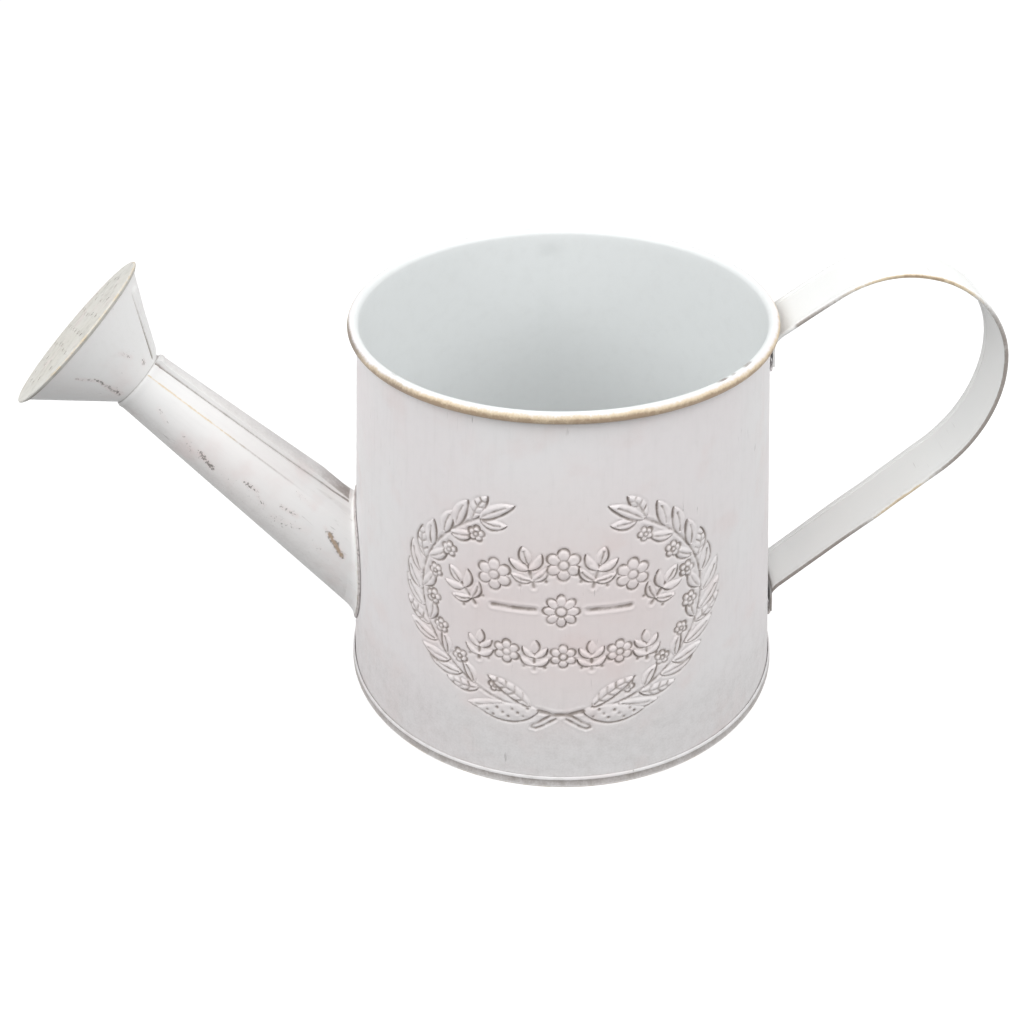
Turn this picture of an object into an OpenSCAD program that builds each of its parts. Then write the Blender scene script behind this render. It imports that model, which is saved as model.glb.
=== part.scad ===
// Small sheet metal watering can. A tapered drum with a curled rim stands on a base pan
// seamed round its foot. A straight tapered spout with a rose leaves one side, and a
// strap handle with beaded edges joins the other.

/* [Body] */
// Inside diameter of the mouth
mouth_d = 100; // [84:1:120]
// Outside diameter of the wall at the floor
foot_d = 118; // [100:1:140]
// Height from the floor to the top of the rim
body_h = 104; // [88:1:126]
// Thickness of the sheet metal
sheet = 0.5; // [0.4:0.05:0.7]
// Diameter of the bead curled along the rim
rim_bead_d = 2.8; // [2.2:0.1:3.6]
// Width of the lap that closes the wall at the back
side_lap_w = 6; // [4:0.5:8]

/* [Base pan] */
// Height of the ring that is folded up round the foot of the wall
foot_ring_h = 3.2; // [2.4:0.1:4.4]
// Height of the pan's underside above the floor
pan_recess = 2.2; // [1.4:0.1:3]

/* [Spout] */
// Height at which the centre line of the spout leaves the wall
spout_z = 33.8; // [31:0.1:42]
// Rise of the spout above level, in degrees
spout_rise = 46.9; // [40:0.1:55]
// Length of the spout from the wall to its tip, along the centre line
spout_len = 73.7; // [60:0.1:90]
// Outside diameter of the spout where its centre line meets the wall
spout_root_d = 26; // [19:0.1:29]
// Outside diameter of the spout at its tip
spout_tip_d = 15.8; // [13:0.1:18]
// Width of the flange turned out against the wall
spout_flange_w = 1.8; // [1.2:0.1:2.6]
// Width of the folded seam along the top of the spout and of the rose
seam_w = 4; // [2.5:0.1:5]
// How far the folded seam stands out
seam_proud = 0.7; // [0.4:0.05:1]

/* [Rose] */
// Outside diameter of the rose cone at its mouth
rose_d = 42; // [34:0.1:50]
// Length of the rose cone
rose_len = 18.3; // [14:0.1:24]
// How far the neck of the cone goes into the spout
rose_neck = 5; // [3:0.5:8]
// Width of the plate's edge where it is folded back over the cone
crimp_w = 1.8; // [1.2:0.1:2.6]
// Diameter of the holes in the plate
rose_hole_d = 1.1; // [0.8:0.1:2]
// Number of rings of holes round the middle one
rose_rings = 3; // [2:1:4]

/* [Handle] */
// Width of the strap
strap_w = 16.5; // [12:0.5:20]
// Width of the hem folded along each edge of the strap
hem_w = 1.6; // [1.2:0.1:2.4]
// How far the strap reaches out beyond the mouth
handle_reach = 60; // [50:0.5:73]
// How far the crown of the strap stands above the rim
handle_crown = 9.8; // [6:0.1:14]
// Distance from the mouth out to the crown of the strap
crown_out = 32; // [28:0.5:36]
// Bend radius of the strap between its upper end and the crown
bend_front = 27; // [20:0.5:28]
// Bend radius of the strap below its outermost point
bend_low = 37.5; // [28:0.5:42]
// Distance from the rim bead down to the upper joint
handle_drop = 3.7; // [2.5:0.1:6]
// Height of the lower joint above the floor
handle_foot_z = 20.9; // [18:0.1:30]
// Length of the tab at each end of the strap that lies on the wall
tab_len = 7; // [5:0.5:10]

/* [Fits] */
// Gap between sheets that are folded, tucked or soldered together
fit = 0.1; // [0.05:0.05:0.15]
// Width of the bead of solder round the spout and at the ends of the strap
solder_w = 1.2; // [0.8:0.1:1.8]

/* [Hidden] */
$fn = 96;
slack = 1;                                   // how far a cutting shape runs past what it cuts
rim_z = body_h - rim_bead_d / 2;             // height of the centre of the rim bead
taper = (foot_d - mouth_d - 2 * sheet) / 2 / rim_z;
paint = "gainsboro";
solder = "silver";

// Outer radius of the wall at a height
function wall_r(z) = foot_d / 2 - taper * z;

// Solid cone of the drum's outside, grown by a distance, between two heights
module drum(grow, z0, z1) {
  translate([0, 0, z0])
    cylinder(h = z1 - z0, r1 = wall_r(z0) + grow, r2 = wall_r(z1) + grow);
}

// Layer that lies on the outside of the wall, from one distance to another
module wall_layer(near, far, z0, z1) {
  difference() {
    drum(far, z0, z1);
    drum(near, z0 - slack, z1 + slack);
  }
}

module ring_section(d) {
  difference() {
    circle(d = d);
    circle(d = d - 2 * sheet);
  }
}

// ---- Body ----

// Rolled wall with its rim curled outward into a bead
module rolled_wall() {
  wall_low = sheet + fit;
  rotate_extrude() {
    polygon([[wall_r(wall_low) - sheet, wall_low], [wall_r(wall_low), wall_low],
             [wall_r(rim_z), rim_z], [wall_r(rim_z) - sheet, rim_z]]);
    translate([(mouth_d + rim_bead_d) / 2, rim_z]) ring_section(rim_bead_d);
  }
}

// Edge of the sheet lapped over the outside at the back
module side_lap() {
  lap_low = foot_ring_h + fit;
  lap_top = body_h - rim_bead_d;
  intersection() {
    wall_layer(-sheet / 2, sheet, lap_low, lap_top);
    translate([-side_lap_w / 2, 0, 0]) cube([side_lap_w, foot_d, body_h]);
  }
}

module body_wall() color(paint) difference() {
  union() {
    rolled_wall();
    side_lap();
  }
  on_spout() spout_bore();
}

// Disc whose edge is folded down inside the wall, under it and up round its foot
module base_pan() color(paint) {
  out_near = fit;
  out_far = fit + sheet;
  in_near = -sheet - fit;
  in_far = -2 * sheet - fit;
  pan_top = pan_recess + sheet;
  rotate_extrude() polygon([
    [0, pan_recess], [wall_r(pan_recess) + in_far, pan_recess], [wall_r(0) + in_far, 0],
    [wall_r(0) + out_far, 0], [wall_r(foot_ring_h) + out_far, foot_ring_h],
    [wall_r(foot_ring_h) + out_near, foot_ring_h], [wall_r(sheet) + out_near, sheet],
    [wall_r(sheet) + in_near, sheet], [wall_r(pan_top) + in_near, pan_top], [0, pan_top]]);
}

// ---- Spout ----

spout_tuck = 0.7 * spout_root_d;             // how far a drawn tube runs on behind the wall
function spout_r(s) = spout_root_d / 2 + (spout_tip_d - spout_root_d) / 2 * s / spout_len;

// Places what is drawn along +Z on the centre line of the spout. Zero is at the wall,
// and +X becomes the upper side of the spout.
module on_spout() {
  translate([-wall_r(spout_z), 0, spout_z]) rotate([0, spout_rise - 90, 0]) children();
}

// Round taper that follows the spout, grown by a distance
module spout_taper(grow, s0, s1) {
  translate([0, 0, s0])
    cylinder(h = s1 - s0, r1 = spout_r(s0) + grow, r2 = spout_r(s1) + grow);
}

module spout_bore() spout_taper(-sheet, -spout_tuck - slack, spout_len + slack);

// Strip along the upper side in which a folded seam shows
module seam_strip(s0, s1) {
  translate([0, -seam_w / 2, s0]) cube([rose_d, seam_w, s1 - s0]);
}

module spout_tube() color(paint) difference() {
  union() {
    on_spout() spout_taper(0, -spout_tuck, spout_len);
    on_spout() intersection() {
      spout_taper(seam_proud, -spout_tuck, spout_len);
      seam_strip(-spout_tuck, spout_len);
    }
    intersection() {
      wall_layer(0, fit + sheet, foot_ring_h, rim_z);
      on_spout() spout_taper(spout_flange_w, -spout_tuck, spout_len);
    }
  }
  drum(fit, 0, body_h);
  on_spout() spout_bore();
}

// ---- Rose ----

neck_r = spout_tip_d / 2 - sheet - fit;      // outer radius of the neck at the spout's tip
rose_flare = (rose_d / 2 - neck_r) / rose_len;
rose_wall = sheet * sqrt(1 + rose_flare * rose_flare);   // wall measured across the axis
rose_fit = fit * sqrt(1 + rose_flare * rose_flare);
function neck_out(s) = spout_r(s) - sheet - fit;
function rose_r(s) = neck_r + rose_flare * (s - spout_len);

module rose_cone() color(paint) on_spout() {
  mouth_s = spout_len + rose_len;
  low_s = spout_len - rose_neck;
  throat_s = spout_len + (rose_wall - sheet) / rose_flare;
  rotate_extrude() polygon([
    [neck_out(low_s), low_s], [neck_r, spout_len], [rose_r(mouth_s), mouth_s],
    [rose_r(mouth_s) - rose_wall, mouth_s], [neck_r - sheet, throat_s],
    [neck_out(low_s) - sheet, low_s]]);
  // Folded seam of the cone, in line with the spout's
  seam_s0 = spout_len + seam_proud + sheet;
  seam_s1 = mouth_s - crimp_w - fit - sheet;
  intersection() {
    rotate_extrude() polygon([
      [rose_r(seam_s0) - sheet / 2, seam_s0], [rose_r(seam_s0) + seam_proud, seam_s0],
      [rose_r(seam_s1) + seam_proud, seam_s1], [rose_r(seam_s1) - sheet / 2, seam_s1]]);
    seam_strip(seam_s0 - slack, seam_s1 + slack);
  }
}

// Pierced plate with its edge folded back over the mouth of the cone
module rose_plate() color(paint) on_spout() {
  in_s = spout_len + rose_len + fit;
  out_s = in_s + sheet;
  fold_s = in_s - fit - crimp_w;
  ring_step = (rose_d / 2 - crimp_w) / (rose_rings + 0.5);
  difference() {
    rotate_extrude() polygon([
      [0, in_s], [rose_r(in_s) + rose_fit, in_s], [rose_r(fold_s) + rose_fit, fold_s],
      [rose_r(fold_s) + rose_fit + rose_wall, fold_s], [rose_r(out_s) + rose_fit + rose_wall, out_s],
      [0, out_s]]);
    rose_hole(in_s);
    for (i = [1 : rose_rings], k = [0 : 6 * i - 1])
      rotate([0, 0, 60 * k / i]) translate([i * ring_step, 0, 0]) rose_hole(in_s);
  }
}

module rose_hole(s) {
  translate([0, 0, s - slack]) cylinder(h = sheet + 2 * slack, d = rose_hole_d, $fn = 24);
}

// ---- Handle ----

// Middles of the three bends in the side view. The widest runs from the crown to the
// outermost point of the strap.
hem_thick = 2 * sheet + fit;
crown_z = body_h + handle_crown;
reach_x = mouth_d / 2 + handle_reach;
bend_crown = handle_reach - crown_out;
mid_crown = [mouth_d / 2 + crown_out, crown_z - bend_crown];
mid_front = [mid_crown[0], crown_z - bend_front];
mid_low = [reach_x - bend_low, mid_crown[1]];

// The ends of the strap on the wall, and the slopes of the straight runs to them
top_z = body_h - rim_bead_d - handle_drop;
top_end = [wall_r(top_z), top_z];
foot_end = [wall_r(handle_foot_z), handle_foot_z];
function slope(a, b) = atan2(b[1] - a[1], b[0] - a[0]);
top_dir = slope(top_end, mid_front) + asin(bend_front / norm(mid_front - top_end));
foot_dir = slope(foot_end, mid_low) - asin(bend_low / norm(mid_low - foot_end));

// Points along one side of the strap in the side view, off outward from its middle
bend_step = 5;                               // degrees between the points of a bend
function bend(mid, r, a0, a1) = let (n = ceil(abs(a1 - a0) / bend_step))
  [for (i = [0 : n]) let (a = a0 + (a1 - a0) * i / n) mid + r * [cos(a), sin(a)]];
function after_first(points) = [for (i = [1 : len(points) - 1]) points[i]];
function backward(points) = [for (i = [1 : len(points)]) points[len(points) - i]];
function strap_line(off) = concat(
  [top_end - 2 * slack * [cos(top_dir), sin(top_dir)] + off * [-sin(top_dir), cos(top_dir)]],
  bend(mid_front, bend_front + off, 90 + top_dir, 90),
  after_first(bend(mid_crown, bend_crown + off, 90, 0)),
  after_first(bend(mid_low, bend_low + off, 0, foot_dir - 90)),
  [foot_end - 2 * slack * [cos(foot_dir), sin(foot_dir)] + off * [sin(foot_dir), -cos(foot_dir)]]);

// Band of the strap's shape, centred on y, of a width and a thickness
module strap_band(y, w, thick) {
  translate([0, y + w / 2, 0]) rotate([90, 0, 0]) linear_extrude(w)
    polygon(concat(strap_line(thick / 2), backward(strap_line(-thick / 2))));
}

// Tab that is turned down against the wall from a height
module strap_tab(z) {
  intersection() {
    wall_layer(0, fit + sheet, z - tab_len, z + sheet);
    translate([0, -strap_w / 2, 0]) cube([foot_d, strap_w, body_h]);
  }
}

module handle_strap() color(paint) difference() {
  union() {
    strap_band(0, strap_w, sheet);
    for (side = [-1, 1]) strap_band(side * (strap_w - hem_w) / 2, hem_w, hem_thick);
    strap_tab(top_z);
    strap_tab(handle_foot_z);
  }
  drum(fit, 0, body_h);
}

// ---- Solder ----

// Bead run round the edge of the spout's flange
module spout_solder() color(solder) difference() {
  intersection() {
    wall_layer(fit, fit + sheet + solder_w / 4, foot_ring_h + fit, rim_z);
    on_spout() spout_taper(spout_flange_w + solder_w, -spout_tuck, spout_len);
  }
  on_spout() spout_taper(spout_flange_w + fit, -spout_tuck - slack, spout_len + slack);
}

// Bead run along the lower edge of a tab
module tab_solder(z) {
  bead_top = z - tab_len - fit;
  intersection() {
    wall_layer(fit, solder_w, bead_top - 1.5 * solder_w, bead_top);
    translate([0, -strap_w / 2, 0]) cube([foot_d, strap_w, body_h]);
  }
}

module handle_top_solder() color(solder) tab_solder(top_z);

module handle_foot_solder() color(solder) tab_solder(handle_foot_z);

body_wall();
base_pan();
spout_tube();
rose_cone();
rose_plate();
handle_strap();
spout_solder();
handle_top_solder();
handle_foot_solder();
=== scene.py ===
import math
from math import radians

import bpy
import numpy as np
from mathutils import Matrix, Vector
from mathutils.geometry import delaunay_2d_cdt


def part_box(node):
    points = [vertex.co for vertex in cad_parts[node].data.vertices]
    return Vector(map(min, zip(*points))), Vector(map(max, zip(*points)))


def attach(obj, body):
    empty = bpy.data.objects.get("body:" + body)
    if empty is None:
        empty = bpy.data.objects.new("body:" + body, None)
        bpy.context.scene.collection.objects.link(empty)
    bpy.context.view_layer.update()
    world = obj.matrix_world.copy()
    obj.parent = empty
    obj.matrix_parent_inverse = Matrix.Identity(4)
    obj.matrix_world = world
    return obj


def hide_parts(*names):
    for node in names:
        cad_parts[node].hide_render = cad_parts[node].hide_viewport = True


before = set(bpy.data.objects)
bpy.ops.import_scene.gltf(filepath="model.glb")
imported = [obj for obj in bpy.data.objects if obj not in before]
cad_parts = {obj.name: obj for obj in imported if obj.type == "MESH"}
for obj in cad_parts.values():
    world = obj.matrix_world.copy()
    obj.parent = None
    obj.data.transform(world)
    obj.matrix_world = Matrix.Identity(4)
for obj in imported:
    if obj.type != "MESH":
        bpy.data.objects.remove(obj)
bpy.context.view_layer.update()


# ---- Drum wall ----
# Tinplate half a millimetre thick, rolled to a slight taper and locked in a flat seam at
# the back. Its top edge is curled outward into a bead. A wreath of leaves is pressed into
# the front, the whole is painted white, and the rim is rubbed back to gold and brown.
MM = 0.001
sheet = 0.5
fit = 0.1
mouth_r = 50
curl_r = 1.4
wall_low, wall_high = (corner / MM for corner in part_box("body_wall"))
foot_r = wall_high.x
curl_z = wall_high.z - curl_r
taper = (foot_r - mouth_r - sheet) / (curl_z - wall_low.z)


def wall_r(z):
    """Radius of the wall's outside at a height."""
    return foot_r - taper * (z - wall_low.z)


def on_drum(turn, z, r):
    """Points round the drum. The turn starts at the front and grows towards the handle."""
    turn, z, r = np.broadcast_arrays(turn, z, r)
    return np.stack((r * np.sin(turn), -r * np.cos(turn), z), -1)


def ripple(turn, seed, amount):
    """Slow unevenness round a hand-worked edge."""
    rng = np.random.default_rng(seed)
    total = 0 * turn
    for waves in (2, 3, 5, 8, 13):
        total = total + np.cos(waves * turn + rng.uniform(0, math.tau)) / math.sqrt(waves)
    return amount * total / 2


def bell(off, width=1.0):
    """1 at the middle, falling away smoothly on both sides."""
    return np.exp(-(off / width) ** 2)


def held(x):
    """A value held between 0 and 1."""
    return np.clip(x, 0, 1)


# The wall is a net of square panels, halved up to three times where the pressing is fine
around, tall, finest = 184, 54, 8
cols, rows = around * finest, tall * finest
turns = (np.arange(cols) / cols * 2 - 1) * math.pi
wall_top = curl_z - 1.25
levels = np.linspace(wall_low.z, wall_top, rows + 1)
level_r = wall_r(levels)[:, None]
wreath_turn = radians(-2.3)
wreath_u, wreath_v = -1, 51
wreath_wide, wreath_high = 36, 28.5
across = (turns - wreath_turn) * level_r
upward = levels[:, None] + 0 * across
raised = 0 * across
pressed = 0 * across


def patch(points, margin):
    """The rows and columns of the net that lie round some points of the pressing."""
    points = np.asarray(points, float).reshape(-1, 2)
    (u0, v0), (u1, v1) = points.min(0) - margin, points.max(0) + margin
    r0, r1 = np.searchsorted(levels, (v0, v1))
    span = wreath_turn + np.array((u0, u1)) / wall_r((v0 + v1) / 2)
    c0, c1 = np.searchsorted(turns, span)
    return slice(r0, r1), slice(c0, c1)


def press(win, height, depth, over=False):
    """Adds a raised and a pressed shape to the net. The stronger wins, or the new one where it
    lies over the old."""
    raised[win] = np.where(over, height, np.maximum(raised[win], height))
    pressed[win] = np.where(over, depth, np.maximum(pressed[win], depth))


def off_line(u, v, run):
    """Distance of some places from a straight line that runs from zero to a point."""
    t = held((u * run[0] + v * run[1]) / (run @ run))
    return np.hypot(u - t * run[0], v - t * run[1])


def groove(points, wide=0.55, deep=0.36, lip=0.1):
    """A line pressed in along some points, with the lip that it pushes up beside it."""
    for start, end in zip(points, points[1:]):
        win = patch((start, end), 2.5)
        off = off_line(across[win] - start[0], upward[win] - start[1], np.subtract(end, start)) / wide
        press(win, lip * bell(off - 2, 0.6), deep * bell(off))


def leaf(base, tip, wide, bow=0.0, veins=0, dots=0, high=0.32):
    """A raised leaf with a pressed outline, a line down its middle, and veins or dots."""
    base, tip = np.array(base, float), np.array(tip, float)
    long = np.hypot(*(tip - base))
    along = (tip - base) / long
    win = patch((base, tip), wide + 1.5)
    u, v = across[win] - base[0], upward[win] - base[1]
    t = (u * along[0] + v * along[1]) / long
    off = v * along[0] - u * along[1] - bow * 4 * t * (1 - t)
    inside = held(t)
    half = wide / 2 * np.sin(math.pi * inside ** 0.85) ** 0.7
    ends = held((t + 0.06) / 0.06) * held((1.06 - t) / 0.06)
    body = high * held(1 - (off / np.maximum(half, 0.01)) ** 2) ** 0.6
    # Painted shade: the outline is pressed deeper on the leaf's lower side, which darkens its brown stain
    # there as well as its groove
    under = 0.66 - 0.34 * np.sign(off * along[0])
    line = 0.42 * under * bell(np.abs(off) - half - 0.1, 0.36)
    has_middle = (inside > 0.06) * (inside < 0.8) * (dots == 0) * (wide > 2.2)
    middle = 0.3 * bell(off, 0.34) * has_middle
    slant = inside * max(veins, 1) - 0.9 * np.abs(off) / wide
    stripe = 0.3 * (veins > 0) * (body > 0.1) * held(np.cos(math.tau * slant))
    lines = ends * np.maximum(np.maximum(line, middle), stripe)
    press(win, body * ends, lines, (body > 0.05) & (ends > 0.9))
    aside = np.array((-along[1], along[0]))
    for k in range(dots):
        step = (k + 2) / (dots + 3)
        side = (-1, 1, 0)[k % 3] * wide / 5 + bow * 4 * step * (1 - step)
        dot(base + along * long * step + aside * side)


def dot(at, size=0.5, deep=0.4):
    """A small round pit."""
    win = patch(at, 2)
    off = np.hypot(across[win] - at[0], upward[win] - at[1])
    press(win, 0 * off, deep * bell(off, size))


def blossom(at, size, petals, first=0.0):
    """An open flower: round petals with pressed outlines about a small raised eye."""
    win = patch(at, size + 2)
    u, v = across[win] - at[0], upward[win] - at[1]
    off, angle = np.hypot(u, v), np.arctan2(v, u) - first
    lobe = np.abs(np.cos(petals * angle / 2))
    edge = size * (0.6 + 0.4 * lobe ** 0.6)
    body = 0.34 * held(1 - (off / edge) ** 2) ** 0.6
    line = 0.38 * bell(off - edge, 0.42)
    between = 0.3 * bell(lobe * off, 0.55) * (off < edge) * (off > size / 3)
    ring = 0.36 * bell(off - size / 3.4, 0.36)
    press(win, body, np.maximum(np.maximum(line, between), ring), body > 0.05)


def bough(side, seed):
    """One half of the wreath: a stem round an ellipse, with leaves outside and buds within."""
    rng = np.random.default_rng(seed)

    def at(degrees, out=0.0):
        a = radians(degrees)
        return np.array((wreath_u + side * (wreath_wide + out) * math.cos(a),
                         wreath_v + (wreath_high + out) * math.sin(a)))

    def heading(degrees, lean):
        step = at(degrees + 0.5) - at(degrees)
        a = math.atan2(step[1], step[0]) - side * radians(lean)
        return np.array((math.cos(a), math.sin(a)))

    def beside(out, v):
        return np.array((wreath_u + side * out, v))

    groove([at(a) for a in range(-86, 62, 6)], wide=0.45, deep=0.3)
    for k in range(14):
        a = -66 + 9.4 * k + rng.uniform(-1.5, 1.5)
        start, long = at(a, 0.3), 9.6 - 0.2 * k + rng.uniform(-0.8, 0.8)
        tip = start + long * heading(a, 27 + rng.uniform(-5, 9))
        leaf(start, tip, 3.3, bow=-side * 0.6, veins=4 * (k % 4 == 1))
        if k % 2:
            start = at(a + 3, -0.4)
            leaf(start, start + 6.4 * heading(a, -34), 2.9, bow=side * 0.5)
        elif k < 13:
            bud = at(a + 4, -1.2) + 2.0 * heading(a, -60)
            blossom(bud + 0.6 * heading(a, -70), 2.0 + rng.uniform(-0.2, 0.2), 5, rng.uniform(0, 3))
    top = at(58)
    leaf(top, top + 9.5 * heading(60, 4), 3.1, bow=-side * 0.4)
    # Foot of the bough: a dotted leaf below, a striped one above, and the cut stem
    foot = beside(5.5, 23.4)
    leaf(foot, foot + (side * 15.5, -1.6), 5.6, bow=-side * 0.8, dots=9)
    leaf(foot + (side * 2, 1.2), foot + (side * 12.5, 8.4), 3.8, bow=side * 0.6, veins=5)
    for cut in (((-2.5, 22), (-5.6, 19.6), (-7, 18.9)), ((-1.3, 21), (-4.9, 18.5), (-6.3, 17.9)),
                ((-7, 18.9), (-7.3, 18.2), (-6.3, 17.9))):
        groove([beside(*point) for point in cut], wide=0.45)
    groove([beside(-2.5, 22), beside(2, 22.4), foot], wide=0.6)


bough(-1, 11)
bough(1, 12)


def sprig(at, high, lean):
    """An upright stem with two pairs of leaves and one at its top, tilted by an angle."""
    def place(x, y):
        return np.array((at[0] + high * (x * math.cos(lean) + y * math.sin(lean)),
                         at[1] + high * (y * math.cos(lean) - x * math.sin(lean))))

    groove([place(0, -0.5), place(0, 0.1)])
    for side in (-1, 1):
        leaf(place(0, -0.34), place(side * 0.42, -0.08), 0.21 * high, bow=-side * 0.05 * high)
        leaf(place(0, -0.06), place(side * 0.36, 0.27), 0.2 * high, bow=-side * 0.05 * high)
        dot(place(side * 0.3, -0.42))
    leaf(place(0, 0.08), place(0, 0.52), 0.26 * high)


def festoon(middle, reach, rise, high, count):
    """A row of sprigs and blossoms in turn along an arch."""
    for k in range(count):
        place = 2 * k / (count - 1) - 1
        at = (middle[0] + reach * place, middle[1] + rise * (1 - place ** 2))
        if k % 2:
            blossom(at, 0.4 * high, 6, first=math.pi / 2)
        else:
            sprig(at, high, math.atan2(2 * rise * place, reach))


festoon((-0.5, 56.0), 24.5, 9.0, 10.6, 7)
festoon((-0.5, 40.4), 20.5, -0.8, 8.2, 7)
blossom((wreath_u, 52.4), 4.4, 8)
for side in (-1, 1):
    groove([(wreath_u + side * 16.5, 52.6), (wreath_u + side * 6.2, 52.6)], wide=0.62)

# The die bit unevenly, and the paint is warmer where the metal was worked
worn_rng = np.random.default_rng(7)
bite = np.kron(worn_rng.uniform(0.45, 1.35, (2 * tall, 2 * around)), np.ones((4, 4)))


def spread(grid, times):
    """A softer copy of the net's values."""
    for _ in range(times):
        grid = (grid + np.roll(grid, 1, 1) + np.roll(grid, -1, 1)) / 3
        grid[1:-1] = (grid[1:-1] + grid[2:] + grid[:-2]) / 3
    return grid


pressed *= spread(np.vstack((bite, bite[-1:])), 5)
raised *= spread(np.vstack((bite[::-1], bite[:1])), 5)
worked = held(1.7 - np.hypot((across - wreath_u) / 30, (upward - 50) / 24))

# Flat locked seam at the back, which fades out under the curl and the foot ring
mean_r, seam_half = 55, 3
from_back = np.minimum(turns + math.pi, math.pi - turns) * mean_r
seam_rise = sheet * held((seam_half - from_back) / 0.35)
fade = held((levels - 3.6) / 1.2) * held((wall_top - 2.2 - levels) / 1.5)
raised = np.maximum(raised, seam_rise * fade[:, None])
relief = raised - pressed


def panels(shape, step, keep):
    """The panels of the net as faces, small where the shape changes fast. The top and bottom rows
    stay whole, so that a plain ring of points can join on to them."""
    corners = [np.roll(shape[edge], turn, 1) for edge in (slice(-1), slice(1, None)) for turn in (0, -1)]
    want, size, splits = np.max(corners, 0) - np.min(corners, 0) > step, 1, {}
    while size < finest:
        grown = want | np.roll(want, 1, 1) | np.roll(want, -1, 1)
        grown[1:] |= want[:-1]
        grown[:-1] |= want[1:]
        r, c = grown.shape
        want = grown.reshape(r // 2, 2, c // 2, 2).any((1, 3))
        size *= 2
        if size <= keep:
            want = np.zeros_like(want)
        if size == finest:
            want[0] = want[-1] = False
        splits[size] = want
    cells, used = {}, np.zeros((rows + 1, cols), bool)
    parent = np.ones((tall, around), bool)
    while size:
        here = parent & ~splits.get(size, np.zeros_like(parent))
        i, j = np.nonzero(here)
        cells[size] = (i * size, j * size)
        for di, dj in ((0, 0), (0, size), (size, 0), (size, size)):
            used[i * size + di, (j * size + dj) % cols] = True
        parent = np.kron(parent & ~here, np.ones((2, 2))) > 0
        size //= 2
    faces = []
    for size, (i, j) in cells.items():
        half = size // 2
        mids = (0, half), (half, size), (size, half), (half, 0)
        plain = ~np.any([used[i + up, (j + aside) % cols] for up, aside in mids], 0) | (size == 1)
        corners = (i, j), (i, (j + size) % cols), (i + size, (j + size) % cols), (i + size, j)
        faces += np.stack([(a * cols + b)[plain] for a, b in corners], 1).tolist()
        walk = [(0, n) for n in range(size)] + [(n, size) for n in range(size)]
        walk += [(size, size - n) for n in range(size)] + [(size - n, 0) for n in range(size)]
        for row, col in zip(i[~plain].tolist(), j[~plain].tolist()):
            ring = [(row + up, (col + aside) % cols) for up, aside in walk]
            ring = [up * cols + aside for up, aside in ring if used[up, aside]]
            middle = (row + half) * cols + col + half
            faces += [[middle, a, b] for a, b in zip(ring, ring[1:] + ring[:1])]
    return faces


def packed(faces, shape):
    """Numbers the grid places that faces use from zero, and gives those places."""
    places = np.unique(np.concatenate([np.asarray(f) for f in faces]))
    number = np.full(shape, -1)
    number[places] = np.arange(len(places))
    return places, number


def ring_band(low, high):
    """Quads between two rings of points, which run the same way round."""
    return np.stack((low, np.roll(low, -1), np.roll(high, -1), high), 1).tolist()


def placed(name, data):
    """A new object in the scene."""
    thing = bpy.data.objects.new(name, data)
    bpy.context.scene.collection.objects.link(thing)
    return thing


def made(name, points, faces, marks, crease=32):
    """A smooth-shaded piece from rows of points in millimetres, its faces, and marks on the rows."""
    mesh = bpy.data.meshes.new(name)
    mesh.from_pydata((np.concatenate(points) * MM).tolist(), [], faces)
    for mark, amount in marks.items():
        layer = mesh.attributes.new(mark, "FLOAT", "POINT")
        layer.data.foreach_set("value", np.concatenate(amount).astype(np.float32))
    mesh.shade_smooth()
    mesh.set_sharp_from_angle(angle=radians(crease))
    return placed(name, mesh)


outside = panels(relief, 0.045, keep=0)
back_relief = spread(relief, 6)
inside = panels(back_relief, 0.07, keep=2)
out_places, out_number = packed(outside, (rows + 1) * cols)
in_places, in_number = packed(inside, (rows + 1) * cols)
sway = ripple(turns, 3, 0.05) * np.sin(math.pi * np.arange(rows + 1) / rows)[:, None]
inset = 0.05
out_points = on_drum(turns, levels[:, None], level_r + relief + sway - inset)
in_points = on_drum(turns, levels[:, None], level_r + back_relief + sway - inset - sheet)
points = [out_points.reshape(-1, 3)[out_places], in_points.reshape(-1, 3)[in_places]]
faces = [out_number[f].tolist() for f in map(np.asarray, outside)]
faces += [(len(out_places) + in_number[f][::-1]).tolist() for f in map(np.asarray, inside)]
rubs = [0 * out_places, 0 * in_places]
flushes = [0.5 * worked.reshape(-1)[out_places], 0 * in_places - 1.0]
# Painted shade: the paint darkens towards the bottom of the wall, on top of the brown stain in the pressed
# lines
low_painted_shade = np.clip(0.52 * (1 - levels / 47), 0, 0.35)[:, None]
pit_and_shade_marks = [np.maximum(held(pressed / 0.38), low_painted_shade).reshape(-1)[out_places], 0 * in_places]

# Curl of the rim, from the crevice on the wall round to the mouth
ring_turns = turns[::finest]
top_row = rows * cols + np.arange(0, cols, finest)
last = out_number[top_row]
count = len(out_places) + len(in_places)
curl_wobble = ripple(ring_turns, 5, 0.07)
curl_patches = ripple(ring_turns, 9, 0.2)
curl_dirt = 1.1 * bell(ring_turns + 1.36, 0.26) + 0.5 * bell(ring_turns + 0.85, 0.2)
nick_places = (0.71, 0.03, 1.3), (0.78, 0.012, 0.8), (0.9, 0.04, 0.9), (-0.9, 0.02, 0.7)
nicks = sum(deep * bell(ring_turns - at, wide) for at, wide, deep in nick_places)
curl = [(mouth_r + 0.42, curl_z - 0.75, 0.5, 1.0, 0, 0)]
for degrees in np.linspace(-124, 180, 25):
    angle = radians(degrees)
    worn = held((74 - degrees) / 74)
    curl.append((mouth_r + curl_r * (1 + math.cos(angle)), curl_z + curl_r * math.sin(angle),
                 0.12 + 0.78 * worn, 0, worn, -held((degrees - 60) / 50)))
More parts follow.
